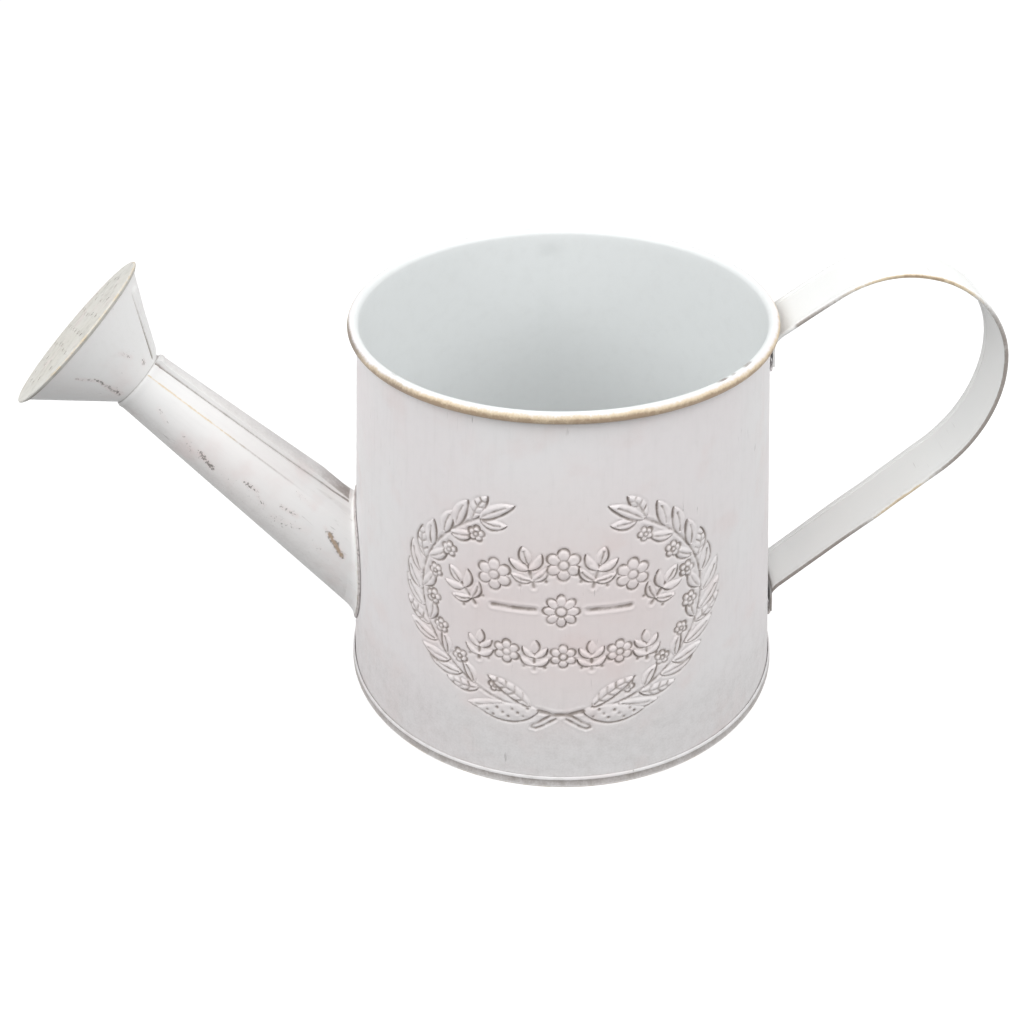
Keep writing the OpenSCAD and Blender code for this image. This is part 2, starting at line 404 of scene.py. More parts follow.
for r, z, rub, pit, worn, inner_side in curl:
    points.append(on_drum(ring_turns, z + curl_wobble, r + 0.6 * curl_wobble * (r > mouth_r + 0.1)))
    rubs.append(rub + curl_patches * worn)
    nicked = (mouth_r + 0.1 < r < mouth_r + 1.6) * (z > curl_z)
    pit_and_shade_marks.append(pit + curl_dirt * min(1, 2 * worn) + nicks * nicked)
    flushes.append(inner_side + 0 * ring_turns)
    ring = count + np.arange(around)
    faces += ring_band(last, ring)
    last, count = ring, count + around
faces += ring_band(last, len(out_places) + in_number[top_row])
bottom = np.arange(0, cols, finest)
faces += ring_band(len(out_places) + in_number[bottom], out_number[bottom])
drum = made("drum_wall", points, faces, {"rub": rubs, "grime_and_shade": pit_and_shade_marks, "flush": flushes})

# The hole that lets water into the spout, along the spout's slope
spout_z = 33.8
spout_rise = radians(46.9)
spout_len = 73.7
root_r, tip_r = 13.0, 7.9
spout_foot = np.array((-wall_r(spout_z), 0, spout_z))
spout_along = np.array((-math.cos(spout_rise), 0, math.sin(spout_rise)))
spout_up = np.array((math.sin(spout_rise), 0, math.cos(spout_rise)))
spout_side = np.array((0.0, 1.0, 0.0))


def spout_r(s):
    """Outer radius of the spout at a distance from the wall."""
    return root_r + (tip_r - root_r) * s / spout_len


def on_spout(angle, s, r):
    """Points round the spout's centre line. The angle starts on top and grows to the back."""
    angle, s, r = (a[..., None] for a in np.broadcast_arrays(angle, s, r))
    return spout_foot + spout_along * s + r * (spout_up * np.cos(angle) + spout_side * np.sin(angle))


punch_sides, off_the_net = 64, 0.37
punch_ring = np.arange(punch_sides)
hole_angles = (punch_ring + off_the_net) / punch_sides * math.tau
hole_ends = [on_spout(hole_angles, s, spout_r(s) - sheet) for s in (-16.0, 14.0)]
hole_faces = ring_band(punch_ring, punch_sides + punch_ring)
hole_faces += [punch_ring[::-1].tolist(), (punch_sides + punch_ring).tolist()]
punch = made("punch", hole_ends, hole_faces, {})
cut = drum.modifiers.new("hole", "BOOLEAN")
cut.operation, cut.object, cut.solver = "DIFFERENCE", punch, "EXACT"
pierced = bpy.data.meshes.new_from_object(drum.evaluated_get(bpy.context.evaluated_depsgraph_get()))
drum.modifiers.clear()
drum.data = pierced
drum.data.name = "drum_wall"
drum.data.set_sharp_from_angle(angle=radians(32))
bpy.data.objects.remove(punch)


class Wire:
    """A socket of a finish. Arithmetic on it adds the Math node that does the sum."""

    def __init__(self, tree, socket):
        self.tree, self.socket = tree, socket

    def node(self, kind, settings, sockets, out=0):
        """A new node: its settings first, then the values or links of its sockets."""
        new_node = self.tree.nodes.new(kind)
        for key, value in settings.items():
            setattr(new_node, key, value)
        for key, value in sockets.items():
            if isinstance(value, Wire):
                value.into(new_node, key)
            else:
                new_node.inputs[key].default_value = value
        return Wire(self.tree, new_node.outputs[out])

    def into(self, node, key):
        """Joins this socket to an input of a node."""
        self.tree.links.new(self.socket, node.inputs[key])

    def sum(self, work, *values):
        return self.node("ShaderNodeMath", {"operation": work}, dict(enumerate(values)))

    def __add__(self, other):
        return self.sum("ADD", self, other)

    def __sub__(self, other):
        return self.sum("SUBTRACT", self, other)

    def __rsub__(self, other):
        return self.sum("SUBTRACT", other, self)

    def __mul__(self, other):
        return self.sum("MULTIPLY", self, other)

    __radd__, __rmul__ = __add__, __mul__

    def between(self, low, high):
        """0 below one value, 1 above the other, and smooth from one to the other."""
        settings = {"interpolation_type": "SMOOTHSTEP"}
        return self.node("ShaderNodeMapRange", settings, {0: self, 1: low, 2: high})

    def over(self, under, cover):
        """A colour with another laid over it, as far as this mask says."""
        below, above = ((*c, 1) if isinstance(c, tuple) else c for c in (under, cover))
        return self.node("ShaderNodeMix", {"data_type": "RGBA"}, {0: self, 6: below, 7: above}, out=2)

    def noise(self, size, detail=3, rough=0.5, warp=0.0):
        """Noise at these places, with lumps of about a size in millimetres."""
        sockets = {"Vector": self, "Scale": 1 / size, "Detail": detail, "Roughness": rough}
        return self.node("ShaderNodeTexNoise", {}, {**sockets, "Distortion": warp})

    def vector(self, work, *values, out=0):
        return self.node("ShaderNodeVectorMath", {"operation": work}, dict(enumerate(values)), out)


def finish(name):
    """A new finish, with its shader and the start of its wires."""
    material = bpy.data.materials.new(name)
    material.use_nodes = True
    return material, material.node_tree.nodes["Principled BSDF"], Wire(material.node_tree, None)


def linear(*srgb):
    """A colour given as it looks, from 0 to 255, in the values that shaders use."""
    return tuple(c / 255 / 12.92 if c < 11 else ((c / 255 + 0.055) / 1.055) ** 2.4 for c in srgb)


drum_white = linear(240, 236, 237)
bright_white = linear(247, 245, 244)
inside_white = linear(241, 244, 244)
blush = linear(235, 220, 218)
rubbed_gold = linear(224, 205, 172)
rubbed_brown = linear(170, 148, 124)
pit_and_shade_brown = linear(132, 120, 112)
fleck_grey = linear(128, 122, 117)
soil_grey = linear(133, 130, 121)


def paint_white(piece, name, grain, seed, white,
                brushed_deep=0.04, warmth=0.3, fleck=0.5, soil=0.05, rough=0.5):
    """White paint brushed along a grain and rubbed through to gold and then brown, where the marks
    of the piece say: rub, grime, chipped, and flush, which is -1 inside the drum. The grime mark lays
    a brown stain that is partly dirt and patina and partly painted shade."""
    material, shader, start = finish(name)
    metres = start.node("ShaderNodeTexCoord", {}, {}, out=3)
    places = start.vector("MULTIPLY", metres, (1000, 1000, 1000))
    places = start.vector("ADD", places, (seed * 31.0, seed * 17.0, seed * 7.0))
    reach = start.vector("DOT_PRODUCT", places, tuple(grain), out=1)
    squash = {0: tuple(grain), "Scale": reach * -0.94}
    squeeze = start.node("ShaderNodeVectorMath", {"operation": "SCALE"}, squash)
    brushed = start.vector("ADD", places, squeeze)
    rub, grime_and_shade, flush, chipped = (start.node("ShaderNodeAttribute", {"attribute_name": mark}, {}, out=2)
                                  for mark in ("rub", "grime_and_shade", "flush", "chipped"))

    clouds = places.noise(34, 2)
    tint = places.noise(11, 3)
    streaks = brushed.noise(1.3, 3, 0.6)
    mottle = places.noise(3.2, 5, 0.68)
    grit = places.noise(0.55, 2, 0.6)
    brushed_grit = brushed.noise(0.6, 2, 0.5)

    outside = (flush + 1).between(0, 1)
    paint = (clouds.between(0.35, 0.65) * 0.35 + (1 - outside)).over(white, inside_white)
    paint = (tint.between(0.5, 0.75) * warmth * outside + flush + chipped * 0.45).over(paint, blush)
    paint = (streaks.between(0.45, 0.8) * outside * brushed_deep).over(paint, fleck_grey)
    paint = (soil * (0.4 + mottle.between(0.45, 0.72) * 0.6)).over(paint, soil_grey)

    bare_at = rub + (mottle - 0.5) * 0.7 + (grit - 0.5) * 0.35
    gilt = bare_at.between(0.24, 0.6)
    bare = bare_at.between(0.56, 0.98)
    colour = (gilt * 0.9).over(paint, rubbed_gold)
    colour = bare.over(colour, rubbed_brown)
    # The grime mark's brown stain: dirt and patina in hollows, and painted shade where a piece marks its
    # crevices, gaps and undersides
    stain_and_shade = (grime_and_shade * (0.35 + mottle * 0.7 + grit * 0.6)).between(0.15, 1.0)
    colour = (stain_and_shade * 0.85).over(colour, pit_and_shade_brown)
    flakes = places.noise(1.0, 4, 0.8, 0.6) + chipped * 0.24
    chips = flakes.between(0.68, 0.73) * chipped.between(0.05, 0.2)
    colour = (chips * 0.9).over(colour, chipped.between(0.85, 1.15).over(fleck_grey, rubbed_brown))
    clump = places.noise(16, 2).between(0.52, 0.7)
    specks = brushed_grit.between(0.68, 0.76) * clump * outside * fleck
    colour = specks.over(colour, fleck_grey)

    height = (1 - bare) * 0.04 + streaks * 0.015 + grit * 0.012 - specks * 0.03 - chips * 0.05
    colour.into(shader, "Base Color")
    (rough + streaks * 0.1 - bare * 0.1).into(shader, "Roughness")
    (bare * 0.25).into(shader, "Metallic")
    bump = {"Strength": 0.4, "Distance": MM, "Height": height}
    height.node("ShaderNodeBump", {}, bump).into(shader, "Normal")
    piece.data.materials.append(material)


paint_white(drum, "drum_worn_white", (0, 0, 1), 1, drum_white)
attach(drum, "root")
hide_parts("body_wall")


# ---- Base pan ----
# Disc of the same sheet. Its edge is folded down inside the wall, under it and up round
# its foot, and rolled tight, so a narrow ring shows all round at the floor.
pan_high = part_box("base_pan")[1] / MM
ring_top = pan_high.z
ring_r = pan_high.x - 0.01
pan_z = 2.2


def turned(name, profile, steps):
    """A piece turned about the can's upright axis. Its section starts and ends on the axis, and
    each point of it is a radius, a height, and how rubbed and how dirty the paint is there."""
    angles = np.arange(steps) / steps * math.tau
    points, rubs, pit_and_shade_marks, faces, last, count = [], [], [], [], None, 0
    for r, z, rub, pit in profile:
        size = steps if r > 0 else 1
        ring = count + np.arange(steps) % size
        points.append(on_drum(angles[:size], z, r))
        rubs.append(np.full(size, rub))
        pit_and_shade_marks.append(np.full(size, pit))
        if last is not None:
            faces += [list(dict.fromkeys(f)) for f in ring_band(last, ring)]
        last, count = ring, count + size
    return made(name, points, faces, {"rub": rubs, "grime_and_shade": pit_and_shade_marks})


inner = wall_r(0) - sheet - fit
pan_profile = [
    (0, pan_z, 0.1, 0.2), (30, pan_z, 0.1, 0.2), (52, pan_z + 0.1, 0.1, 0.2),
    (inner - 2.2, pan_z, 0.2, 0.4), (inner - 0.9, pan_z - 0.5, 0.3, 0.6),
    (inner - 0.55, 0.3, 0.5, 0.4), (inner - 0.2, 0.0, 0.6, 0.2)]

# The ring: how far inside its widest each point lies, and how many slopes of the wall more
ring_fold = [
    (0.5, 0, 0.0, 0.6, 0.2), (0.15, 0, 0.12, 0.6, 0.2), (0, 0, 0.42, 0.3, 0.3),
    (0.12, 0, 0.8, 0.15, 0.6), (0.16, 1, 1.4, 0.1, 0.62), (0.16, 2, 2.1, 0.1, 0.66),
    (0.1, 2, 2.35, 0.1, 0.7), (0, 2.4, 2.5, 0.1, 0.1), (0.04, 2.7, ring_top - 0.4, 0.05, 0),
    (0.16, 3, ring_top - 0.12, 0.05, 0), (0.34, 3.2, ring_top, 0.1, 0),
    (0.5, 3, ring_top - 0.12, 0.1, 0.6), (0.52, 2, 1.9, 0, 1), (0.52, 0, 0.55, 0, 1)]
pan_profile += [(ring_r - off - taper * more, z, rub, pit) for off, more, z, rub, pit in ring_fold]
pan_profile += [
    (inner - 0.02, 0.55, 0, 1), (inner - 0.1 - taper * pan_z, pan_z + 0.1, 0, 0.6),
    (inner - 0.8, pan_z + 0.45, 0, 0.6), (inner - 1.6, pan_z + sheet, 0, 0.4),
    (52, pan_z + sheet + 0.1, 0, 0.2), (30, pan_z + sheet, 0, 0.1), (0, pan_z + sheet, 0, 0.1)]
pan = turned("base_pan", pan_profile, 240)
paint_white(pan, "pan_worn_white", (0, 0, 1), 2, drum_white, fleck=0.8, soil=0.3)
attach(pan, "root")
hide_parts("base_pan")


# ---- Spout ----
# Tapered tube rolled from one sheet. Its edges are folded together in a raised seam on
# top, with a flat worked on each side of it, and its foot is flared out on to the wall.
seam_near, seam_far = radians(-11), radians(14)
flat_from, flat_to = radians(10), radians(44)
seam_proud = 0.9


def spaced(keys, counts):
    """Angles round a piece: so many from one key, in degrees, to the next."""
    runs = [np.linspace(a, b, n, endpoint=False) for a, b, n in zip(keys, keys[1:], counts)]
    return np.radians(np.concatenate(runs))


tube_turns = spaced((-180, -46, -14, -8, 11, 17, 46, 180), (84, 32, 18, 26, 18, 24, 60))


def tube_r(angle, s):
    """Radius of the tube's outside, with the flats beside the seam."""
    half = (flat_to - flat_from) / 2
    off = np.abs(np.abs(angle) - (flat_to + flat_from) / 2)
    return spout_r(s) * np.where(off < half, math.cos(half) / np.cos(np.minimum(off, half)), 1)


def step_up(x, width):
    """Rises smoothly from 0 to 1 as x goes from half a width below 0 to half above."""
    t = held(x / width + 0.5)
    return t * t * (3 - 2 * t)


def seam_drift(s):
    """How far the near edge of the seam bows round the tube on its way along."""
    return radians(3.5) * np.sin(math.pi * held(s / spout_len))


def seam_height(angle, s):
    """Height of the folded seam over the tube, with the crevice along its near edge."""
    r = spout_r(s)
    near = (angle - seam_near + seam_drift(s)) * r
    far = (seam_far - angle) * r
    fold = seam_proud * step_up(near, 0.4) * step_up(far, 0.9)
    wide = 0.26 + 0.5 * held(1 - s / 16)
    crevice = 0.4 * bell(near + 0.28 + wide / 2, wide)
    lip = 0.22 * bell(s - spout_len + 0.7, 0.5)
    knob = 0.45 * bell(s - spout_len + 1.1, 0.8) * bell(near - 0.9, 0.9)
    return fold - crevice + lip + knob


def to_wall(angle, r_of, lift):
    """Distance along the spout at which its side runs into the wall, lifted off it a little."""
    low, high = np.full(angle.shape, -20.0), np.full(angle.shape, 25.0)
    for _ in range(30):
        mid = (low + high) / 2
        at = on_spout(angle, mid, r_of(angle, mid))
        outside = np.hypot(at[:, 0], at[:, 1]) > wall_r(at[:, 2]) + lift
        low, high = np.where(outside, low, mid), np.where(outside, mid, high)
    return (low + high) / 2


def laid_on_wall(at, lift):
    """The nearest points that lie over the wall at a height off it."""
    turn = np.arctan2(at[:, 0], -at[:, 1])
    return on_drum(turn, at[:, 2], wall_r(at[:, 2]) + lift)


def knees(angle):
    """Where the tube's side bends into its flange: distances along it, places, ways outward."""
    start = to_wall(angle, tube_r, fit + sheet)
    knee = on_spout(angle, start, tube_r(angle, start))
    outward = knee - on_spout(angle, start, 0 * angle)
    return start, knee, outward / np.linalg.norm(outward, axis=1)[:, None]


lowness = (1 - np.cos(tube_turns)) / 2
flange = 1.5 + 0.35 * lowness
bend = 1.3 + 2.6 * lowness
start, knee, outward = knees(tube_turns)
hem_in, hem_mid, hem_out = (laid_on_wall(knee + outward * (flange + wide)[:, None], lift)
                            for wide, lift in ((0.3, fit), (0.42, fit + sheet / 2), (0.3, fit + sheet)))
shaft = on_spout(tube_turns, start + bend, tube_r(tube_turns, start + bend))
hem_rows, flare_rows, shaft_rows, tip_rows, bore_rows = 2, 9, 132, 2, 17
shaft_first = hem_rows + flare_rows
shaft_end = shaft_first + shaft_rows
# Painted shadow: the flange's hem and the start of its flare are stained dark along the gap against the
# wall. The bore inside the tube is darkened a little
tube_rows, tube_rub, tube_grime_and_shade = [hem_in, hem_mid], [0.4, 0.3], [1.0, 0.8]
for t in np.linspace(0, 1, flare_rows):
    tube_rows.append((1 - t) ** 2 * hem_out + 2 * t * (1 - t) * knee + t * t * shaft)
    tube_rub.append(0.3 * (1 - t))
    tube_grime_and_shade.append(0.3 * (1 - t) ** 3)
for k in range(1, shaft_rows + 1):
    s = start + bend + (spout_len - start - bend) * k / shaft_rows
    seam = held(6 * k / shaft_rows) * seam_height(tube_turns, s)
    tube_rows.append(on_spout(tube_turns, s, tube_r(tube_turns, s) + seam))
tip_edge = tube_r(tube_turns, spout_len) + seam_height(tube_turns, spout_len)
tube_rows.append(on_spout(tube_turns, spout_len + 0.12, tip_edge - 0.12))
tube_rows.append(on_spout(tube_turns, spout_len, tip_r - sheet + 0.06))
bore_start = to_wall(tube_turns, lambda a, s: spout_r(s) - sheet, fit)
for t in np.linspace(0, 1, bore_rows):
    s = (spout_len - 0.1) * (1 - t) + bore_start * t
    tube_rows.append(on_spout(tube_turns, s, spout_r(s) - sheet))
tube_rub += [0.0] * (shaft_rows + tip_rows + bore_rows)
tube_grime_and_shade += [0.0] * (shaft_rows + tip_rows) + [0.3] * bore_rows

# Chipped and scratched places along the near side: where each starts and ends, as distance
# along the spout and degrees round it, its width, and how bare it is
scars = [
    (51.5, -93, 46.7, -101, 0.9, 0.9), (58, -87, 53.2, -102, 0.8, 0.5),
    (38.5, -84, 34.5, -83, 0.9, 0.7), (27, -78, 22.4, -75, 0.7, 0.8),
    (27, -99, 17.7, -82, 1.5, 0.42), (14.8, -64, 12.8, -67, 0.6, 0.6),
    (12.8, -67, 6.1, -79, 0.9, 1.3), (33.5, -88, 30.5, -93, 0.8, 0.5),
    (66.5, -80, 63, -90, 0.8, 0.4), (26, -50, 20, -54, 0.8, 0.35), (60, -104, 10, -98, 5.0, 0.17)]


def scarred(scars, along, turn, start_r, here_r=None):
    """How bare some scars leave the places at a distance along a piece and a turn round it. The
    sideways size of a scar goes by the radius at its start, or at each place."""
    bare = 0 * along * turn
    for s0, a0, s1, a1, wide, deep in scars:
        a0, a1, r = radians(a0), radians(a1), start_r(s0)
        aside = (turn - a0) * (r if here_r is None else here_r)
        off = off_line(along - s0, aside, np.array((s1 - s0, (a1 - a0) * r))) / wide
        bare = np.maximum(bare, deep * bell(off))
    return bare


tube = np.array(tube_rows)
s_map = (tube - spout_foot) @ spout_along
r_map = spout_r(s_map)
shown = np.zeros(s_map.shape)
shown[shaft_first:shaft_end] = 1
chip_map = 0 * s_map
chip_map[hem_rows:shaft_end] = scarred(scars, s_map[hem_rows:shaft_end], tube_turns, spout_r)

# The near crease is dirty low down and rubbed bare high up. Painted shade darkens the crevice along
# the seam's near edge and, with mottled dirt, the underside; the seam's fold and the strip past its far edge
# are darker too
crease_line = 0.55 * bell((tube_turns + flat_to) * r_map, 0.35) * held((s_map - 20) / 12)
crevice_off = (tube_turns - seam_near + seam_drift(s_map)) * r_map + 0.35
near_root = held(1 - s_map / 16)
on_fold = (crevice_off > 0.6) * (tube_turns < seam_far)
darkening = [
    crease_line * held((56 - s_map) / 10),
    (0.95 + 0.5 * near_root) * bell(crevice_off, 0.26 + 0.7 * near_root),
    (0.36 + 0.85 * held(1 - s_map / 26)) * on_fold,
    0.5 * bell((tube_turns - seam_far) * r_map, 0.4),
    0.34 * held((np.abs(tube_turns) - radians(55)) / radians(60)) + 0 * s_map]
grime_and_shade_map = np.maximum(np.array(tube_grime_and_shade)[:, None], shown * np.max(darkening, 0))
rub_map = np.maximum(np.array(tube_rub)[:, None], shown * crease_line * held((s_map - 38) / 12))


def tube_piece(name, grid, marks, capped=False):
    """A piece from rings of points, joined ring to ring. The last joins the first, or both ends
    are closed."""
    index = np.arange(grid[..., 0].size).reshape(grid.shape[:2])
    faces = []
    for low, high in zip(index, index[1:]):
        faces += ring_band(low, high)
    faces += [index[0, ::-1].tolist(), index[-1].tolist()] if capped else ring_band(index[-1], index[0])
    return made(name, grid, faces, marks, crease=40 if capped else 32)


spout = tube_piece("spout_tube", tube, {"rub": rub_map, "grime_and_shade": grime_and_shade_map, "chipped": chip_map})
paint_white(spout, "spout_worn_white", spout_along, 3, bright_white, warmth=0.4, fleck=0.8, soil=0.03)
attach(spout, "root")
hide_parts("spout_tube")


# ---- Rose ----
# Flared cone pushed into the spout's tip, seamed like it, and closed by a pierced plate
# whose edge is folded back over the mouth of the cone.
rose_len = 18.3
rose_mouth_r = 21
neck_r = tip_r - sheet - fit
flare = (rose_mouth_r - neck_r) / rose_len
thick = sheet * math.hypot(1, flare)
mouth_s = spout_len + rose_len
rose_angles = spaced((-180, -24, 18, 180), (70, 84, 70))


def rose_r(s):
    return neck_r + flare * (s - spout_len)


cone_section = [(s, spout_r(s) - sheet - fit, 0) for s in np.linspace(spout_len - 5, spout_len - 0.2, 5)]
cone_section += [(s, rose_r(s), 1) for s in np.linspace(spout_len + 0.25, mouth_s, 58)]
cone_section += [(mouth_s, rose_mouth_r - thick, 2)]
cone_section += [(s, rose_r(s) - thick, 2) for s in np.linspace(mouth_s - 1, spout_len + 0.35, 9)]
cone_section += [(s, spout_r(s) - 2 * sheet - fit, 2) for s in np.linspace(spout_len - 1, spout_len - 5, 4)]
cone_rows, cone_grime_and_shade = [], []
for s, r, side in cone_section:
    seam = 0 * rose_angles
    grime_and_shade = 0.35 * (side == 2) + seam
    if side == 1:
        up = (s - spout_len) / rose_len
        near = rose_angles * r + 1.25 + 0.5 * up
        far = 1.9 - rose_angles * r
        ends = step_up(s - spout_len - 1.2, 1.4) * step_up(mouth_s - 2.6 - s, 1.2)
        seam = ends * (0.6 * step_up(near, 0.45) * step_up(far, 0.8) - 0.3 * bell(near + 0.45, 0.3))
        # Painted shade along the crevice at the seam's near edge, and a dark line at the joint with the
        # spout's tip
        grime_and_shade = ends * (1.2 - 0.8 * up) * bell(near + 0.42, 0.32)
        grime_and_shade = np.maximum(grime_and_shade, 0.8 * bell(s - spout_len, 0.4))
    cone_rows.append(on_spout(rose_angles, s, r + seam))
    cone_grime_and_shade.append(grime_and_shade)
cone_s, cone_r, cone_side = np.array(cone_section).T[..., None]
cone_out = cone_side == 1
rose_scars = [
    (3.0, -34, 2.8, -36, 0.6, 0.9), (9.1, -51, 6.3, -46, 0.6, 0.6),
    (13.2, -91, 8.6, -87, 0.5, 0.9), (8.6, -87, 6, -91, 0.5, 0.9),
    (6, -91, 2.2, -97, 0.9, 0.9), (13, -102, 4, -106, 2.5, 0.16)]
cone_chips = cone_out * scarred(
    rose_scars, cone_s - spout_len, rose_angles, lambda s: rose_r(spout_len + s), cone_r)
# Painted shade: the cone's underside is darkened
shaded_underside = held((np.abs(rose_angles) - radians(85)) / radians(50))
cone_grime_and_shade = np.maximum(cone_grime_and_shade, cone_out * 0.2 * shaded_underside)
cone = tube_piece("rose_cone", np.array(cone_rows), {"grime_and_shade": cone_grime_and_shade, "chipped": cone_chips})
# Painted light: the cone's white is lighter than the drum's and unsoiled, so that the cone reads brighter
paint_white(cone, "cone_white_painted_lighter", spout_along, 4, linear(253, 252, 251), warmth=0.2, fleck=0.7, soil=0.0)
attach(cone, "root")
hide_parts("rose_cone")

# Plate: its face is laid out flat with the holes left open, then bulged a little
plate_in = mouth_s + fit
plate_out = plate_in + sheet
face_r = rose_r(plate_in) + 0.1
hole_r = 0.55
hole_steps = 12
hole_rings = 3
ring_step = (rose_mouth_r - 1.8) / (hole_rings + 0.5)
holes = [(0.0, 0.0)]
for k in range(1, hole_rings + 1):
    holes += [(k * ring_step, math.tau * j / (6 * k)) for j in range(6 * k)]
holes = np.array([(r * math.cos(a), r * math.sin(a)) for r, a in holes])
rim_steps = 120


def loop(centre, r, steps):
    angles = np.arange(steps) / steps * math.tau
    return np.stack((centre[0] + r * np.cos(angles), centre[1] + r * np.sin(angles)), 1)


def to_hole(xy):
    """Distance from places on the plate to the middle of the nearest hole."""
    return np.hypot(*(xy[:, None] - holes).transpose(2, 0, 1)).min(1)


def lifted(xy):
    """Height of the plate's face: a low dome, with the metal drawn up round each hole."""
    dome = 0.5 * (1 - (np.hypot(*xy.T) / face_r) ** 2)
    return dome + 0.1 * bell(to_hole(xy) - hole_r, 0.4)


flat = [loop((0, 0), face_r, rim_steps)]
edges = [(k, (k + 1) % rim_steps) for k in range(rim_steps)]
for centre in holes:
    for r in (hole_r, hole_r + 0.25, hole_r + 0.6):
        base = sum(map(len, flat))
        flat.append(loop(centre, r, hole_steps))
        edges += [(base + k, base + (k + 1) % hole_steps) for k in range(hole_steps)]
flat.append(loop((0, 0), face_r - 0.8, 90))
flat.append(loop((0, 0), 2.5 * ring_step, 60))
flat = np.concatenate(flat)
found = delaunay_2d_cdt([Vector(p) for p in flat.tolist()], edges, [], 0, 1e-5)
sheet_xy = np.array([tuple(v) for v in found[0]])
sheet_faces = [list(f) for f in found[2]]
middles = np.array([sheet_xy[f].mean(0) for f in sheet_faces])
open_at = to_hole(middles) < hole_r * 0.97
sheet_faces = [f for f, gone in zip(sheet_faces, open_at) if not gone]


def plate_points(xy, s):
    return on_spout(np.arctan2(xy[:, 1], xy[:, 0]), s, np.hypot(*xy.T))


front = plate_points(sheet_xy, plate_out + lifted(sheet_xy))
rear = plate_points(sheet_xy, plate_in + lifted(sheet_xy))
size = len(sheet_xy)
plate_faces = sheet_faces + [[size + k for k in reversed(f)] for f in sheet_faces]
sides = dict.fromkeys((a, b) for f in sheet_faces for a, b in zip(f, f[1:] + f[:1]))
at_rim = np.hypot(*sheet_xy.T) > face_r - 0.01
plate_faces += [[b, a, size + a, size + b] for a, b in sides if (b, a) not in sides and not at_rim[a]]
face_turn = np.arctan2(sheet_xy[:, 1], sheet_xy[:, 0])
rim_order = np.array(sorted(np.flatnonzero(at_rim), key=lambda k: face_turn[k]))
rim_turn = face_turn[rim_order]
fold_wave = ripple(rim_turn, 11, 0.06)
fold = [
    (0.45, 0.05, 0.2), (0.85, -0.1, 0.36), (1.0, -0.36, 0.38), (0.86, -0.6, 0.3), (0.5, -0.84, 0),
    (0.12, -1.06, 0), (-0.3, -1.16, 0), (-0.44, -1.06, 0), (-0.15, -0.85, 0), (0.22, -0.65, 0)]
low_near = held((-rim_turn - radians(95)) / radians(20))
points, last, count = [front, rear], rim_order, 2 * size
plate_rub = [np.full(2 * size, 0.05)]
plate_grime_and_shade = [0.25 + 0.1 * bell(to_hole(sheet_xy) - hole_r, 0.3)] * 2
# Painted shadow: under the fold's rear edge a dark line runs round the cone, strongest on the low near side
for out, back, rub in fold:
    points.append(on_spout(rim_turn, plate_out + back, face_r + out + fold_wave * (out > 0.4)))
    plate_rub.append(rub * (1 - 0.6 * low_near))
    plate_grime_and_shade.append(np.maximum(0.1, 1.1 * (back < -0.8) * np.maximum(low_near, 0.25)))
    ring = count + np.arange(len(rim_order))
    plate_faces += [f[::-1] for f in ring_band(last, ring)]
    last, count = ring, count + len(rim_order)
plate_faces += [f[::-1] for f in ring_band(last, size + rim_order)]
plate = made("rose_plate", points, plate_faces, {"rub": plate_rub, "grime_and_shade": plate_grime_and_shade})
plate_white = linear(222, 219, 210)
paint_white(plate, "plate_worn_white", (1, 0, 0), 5, plate_white, warmth=0.6, fleck=0.8, soil=0.4, rough=0.6)
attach(plate, "root")
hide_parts("rose_plate")


# ---- Handle ----
# Strip of sheet with a hem folded along each edge, bent into an ear. Both ends turn down
# against the wall, bowed to its round, and are soldered there.
strap_w = 16.5
hem_w = 1.6
hem_thick = 2 * sheet + fit
tab_len = 7
crown_out = 32
bend_front, bend_low = 27, 37.5
top_z = wall_high.z - 2 * curl_r - 3.7
foot_z = 20.9
strap_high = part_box("handle_strap")[1] / MM
reach_x = strap_high.x - hem_thick / 2 - 0.1
crown_z = strap_high.z - hem_thick / 2
bend_crown = reach_x - mouth_r - crown_out
mid_crown = np.array((mouth_r + crown_out, crown_z - bend_crown))
mid_front = np.array((mid_crown[0], crown_z - bend_front))
mid_low = np.array((reach_x - bend_low, mid_crown[1]))
top_end = np.array((wall_r(top_z), top_z))
foot_end = np.array((wall_r(foot_z), foot_z))


def bearing(a, b):
    return math.atan2(b[1] - a[1], b[0] - a[0])


top_dir = bearing(top_end, mid_front) + math.asin(bend_front / np.hypot(*(mid_front - top_end)))
foot_dir = bearing(foot_end, mid_low) - math.asin(bend_low / np.hypot(*(mid_low - foot_end)))


def arc_points(mid, r, a0, a1, steps):
    angles = np.linspace(a0, a1, steps)
    return mid + r * np.stack((np.cos(angles), np.sin(angles)), 1)


def wall_point(z):
    return np.array((wall_r(z) + fit + hem_thick / 2, z))


def bent(start, corner, end):
    return [(1 - t) ** 2 * start + 2 * t * (1 - t) * corner + t * t * end for t in np.linspace(0.15, 1, 7)]


def straight(start, end, steps):
    return [start + (end - start) * t for t in np.linspace(0, 1, steps)[1:]]


def leaving(end, direction):
    """Where the strap comes out of the bend at its tab."""
    return end + 2.6 * np.array((math.cos(direction), math.sin(direction)))


